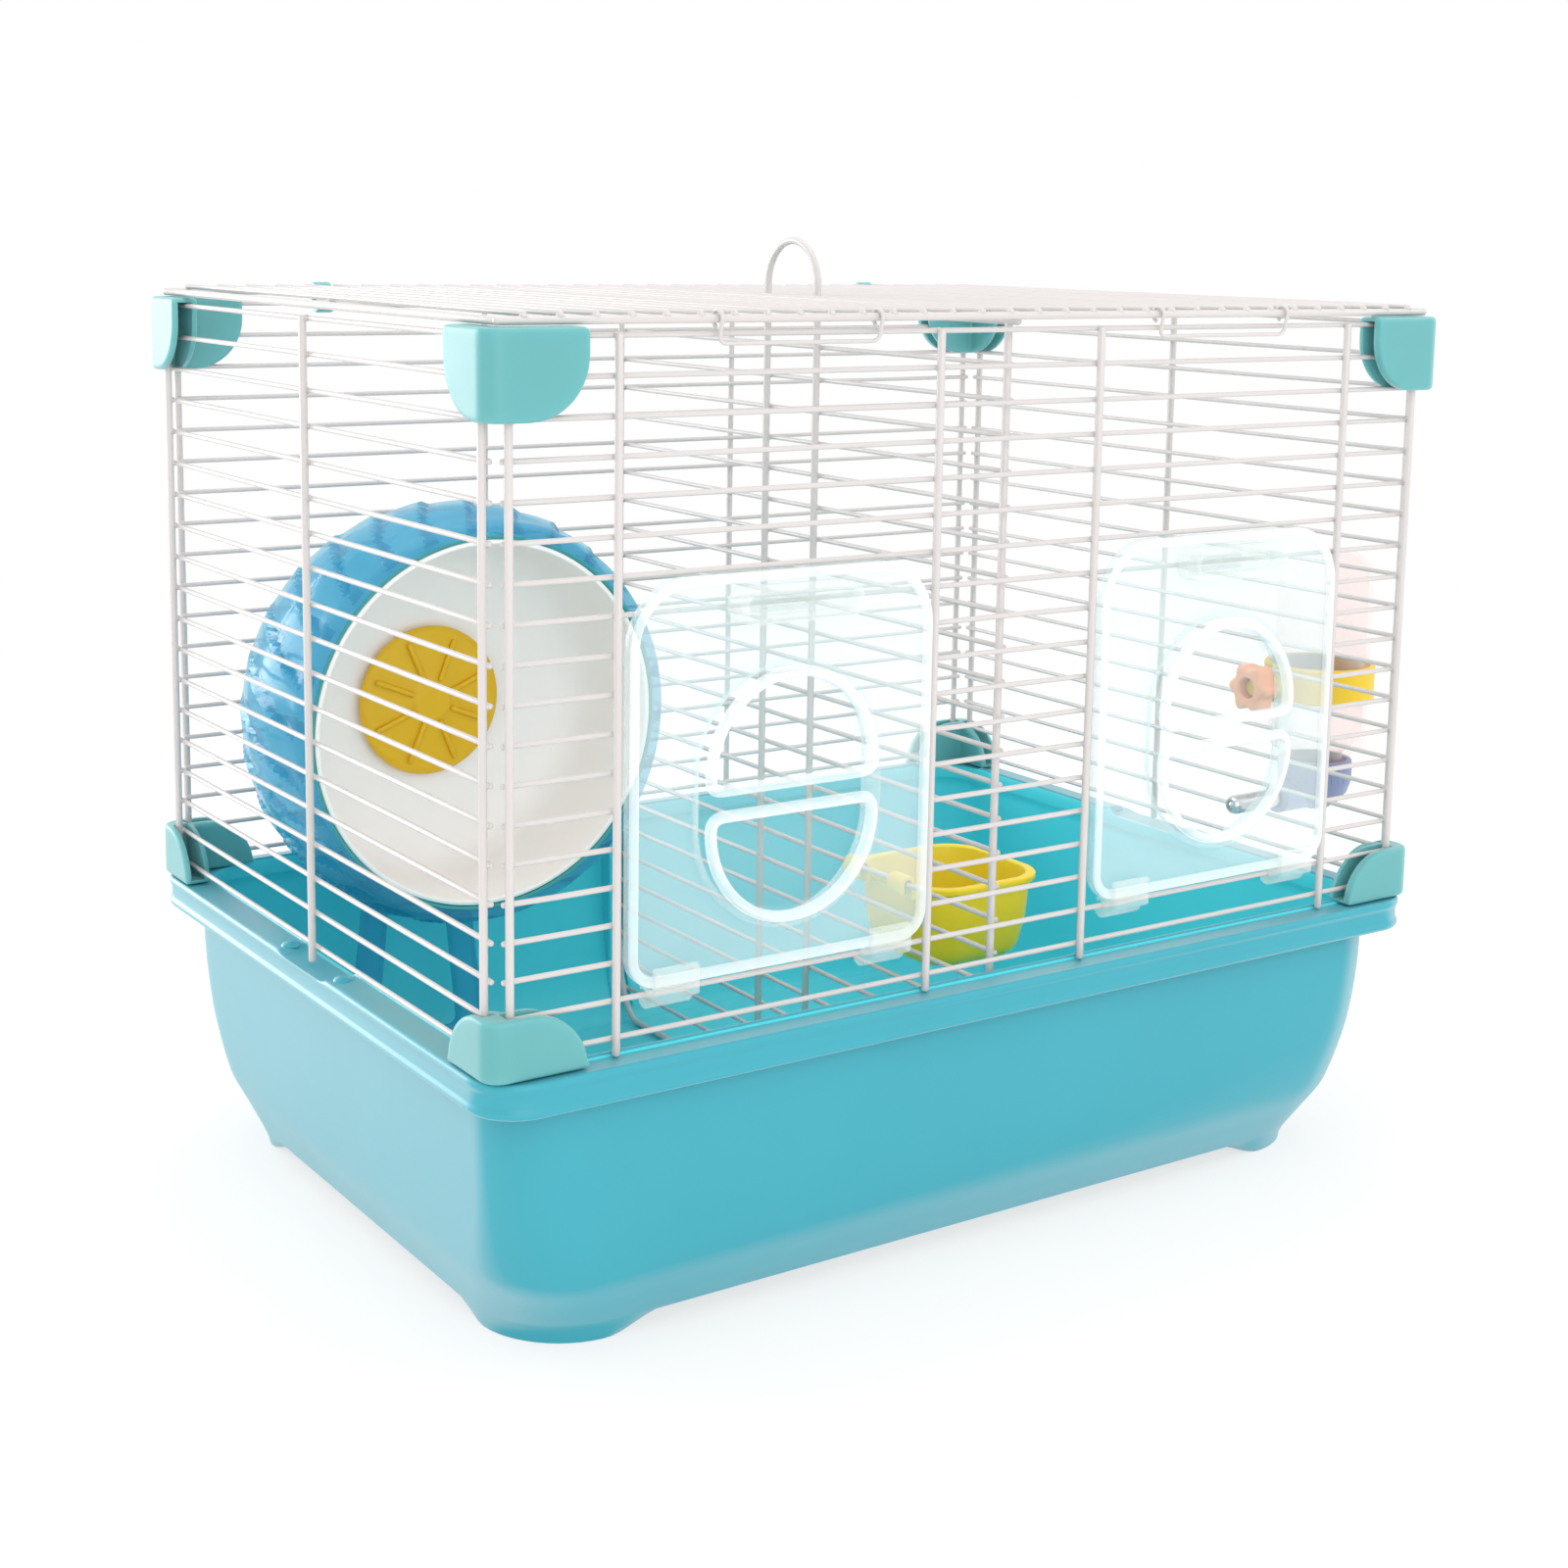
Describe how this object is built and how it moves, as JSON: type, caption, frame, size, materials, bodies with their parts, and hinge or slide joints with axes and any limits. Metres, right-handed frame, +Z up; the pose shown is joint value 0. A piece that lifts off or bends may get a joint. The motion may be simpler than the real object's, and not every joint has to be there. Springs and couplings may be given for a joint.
{
  "type": "hamster cage",
  "caption": "Small-animal cage: wire cage with hinged roof, flap doors and lift-out divider on a moulded tray, with running wheel, bowl and bottle.",
  "frame": {"origin": "middle of the object's bounding box, on the surface that the tray's feet stand on", "axes": "+Z up, +X to the right along the long front, -Y out of the front with the doors"},
  "size_m": [0.3898, 0.2556, 0.3082],
  "materials": {
    "turquoise_plastic": "smooth moulded turquoise plastic",
    "mint_plastic": "satin mint plastic",
    "white_wire": "white coated steel wire",
    "white_plastic": "smooth white plastic",
    "door_clear_plastic": "clear aqua plastic",
    "blue_clear_plastic": "translucent blue plastic",
    "bottle_clear_plastic": "clear, faintly pink plastic",
    "yellow_plastic": "smooth yellow plastic",
    "lime_plastic": "smooth yellow-green plastic",
    "orange_plastic": "smooth orange plastic",
    "violet_plastic": "smooth grey-violet plastic",
    "steel": "bright steel"
  },
  "bodies": {
    "tray": {"tray": "turquoise_plastic", "wheel_stand": "blue_clear_plastic", "wheel_axle": "steel"},
    "cage": {"front_panel": "white_wire", "back_panel": "white_wire", "left_panel": "white_wire", "right_panel": "white_wire", "left_roof_ring": "mint_plastic", "right_roof_ring": "mint_plastic", "top_cap_front_left": "mint_plastic", "top_cap_front_right": "mint_plastic", "top_cap_rear_left": "mint_plastic", "top_cap_rear_right": "mint_plastic", "bottom_cap_front_left": "mint_plastic", "bottom_cap_front_right": "mint_plastic", "bottom_cap_rear_left": "mint_plastic", "bottom_cap_rear_right": "mint_plastic"},
    "roof": {"roof": "white_wire"},
    "left_bail": {"left_latch_bail": "white_wire"},
    "right_bail": {"right_latch_bail": "white_wire"},
    "divider": {"divider": "white_wire"},
    "bowl": {"food_bowl": "lime_plastic"},
    "left_door": {"left_door": "door_clear_plastic", "left_door_grip": "white_plastic", "left_door_inner_clip": "white_plastic", "left_door_outer_clip": "white_plastic"},
    "right_door": {"right_door": "door_clear_plastic", "right_door_grip": "white_plastic", "right_door_inner_clip": "white_plastic", "right_door_outer_clip": "white_plastic"},
    "left_cover": {"left_port_cover": "door_clear_plastic"},
    "right_cover": {"right_port_cover": "door_clear_plastic"},
    "wheel": {"wheel_drum": "blue_clear_plastic", "wheel_dish": "white_plastic", "wheel_hub_cover": "yellow_plastic"},
    "bottle": {"bottle": "bottle_clear_plastic", "bottle_cap": "violet_plastic", "drinking_tube": "steel", "bottle_holder": "yellow_plastic"},
    "knob": {"clamp_knob": "orange_plastic"}
  },
  "joints": [
    {"name": "cage_lift", "type": "slide", "parent": "tray", "child": "cage", "axis": [0, 0, 1], "range_m": [0, 0.2]},
    {"name": "roof_hinge", "type": "hinge", "parent": "cage", "child": "roof", "pos_m": [-0.0189, 0.1208, 0.287], "axis": [-1, 0, 0], "range_deg": [0, 100]},
    {"name": "left_bail_hinge", "type": "hinge", "parent": "roof", "child": "left_bail", "pos_m": [-0.09765, -0.1172, 0.287], "axis": [-1, 0, 0], "range_deg": [0, 100]},
    {"name": "right_bail_hinge", "type": "hinge", "parent": "roof", "child": "right_bail", "pos_m": [0.05985, -0.1172, 0.287], "axis": [-1, 0, 0], "range_deg": [0, 100]},
    {"name": "divider_lift", "type": "slide", "parent": "cage", "child": "divider", "axis": [0, 0, 1], "range_m": [0, 0.16]},
    {"name": "bowl_lift", "type": "slide", "parent": "divider", "child": "bowl", "axis": [0, 0, 1], "range_m": [0, 0.006]},
    {"name": "left_door_hinge", "type": "hinge", "parent": "cage", "child": "left_door", "pos_m": [-0.1014, -0.1152, 0.1045], "axis": [1, 0, 0], "range_deg": [0, 100]},
    {"name": "right_door_hinge", "type": "hinge", "parent": "cage", "child": "right_door", "pos_m": [0.0636, -0.1152, 0.1045], "axis": [1, 0, 0], "range_deg": [0, 100]},
    {"name": "left_cover_pull", "type": "slide", "parent": "left_door", "child": "left_cover", "axis": [0, -1, 0], "range_m": [0, 0.03]},
    {"name": "right_cover_pull", "type": "slide", "parent": "right_door", "child": "right_cover", "axis": [0, -1, 0], "range_m": [0, 0.03]},
    {"name": "wheel_spin", "type": "hinge", "parent": "tray", "child": "wheel", "pos_m": [-0.1129, 0.0818, 0.148], "axis": [0, 1, 0], "continuous": true},
    {"name": "bottle_pull", "type": "slide", "parent": "cage", "child": "bottle", "axis": [1, 0, 0], "range_m": [0, 0.045]},
    {"name": "knob_turn", "type": "hinge", "parent": "cage", "child": "knob", "pos_m": [0.1461, -0.0582, 0.15175], "axis": [1, 0, 0], "continuous": true}
  ]
}
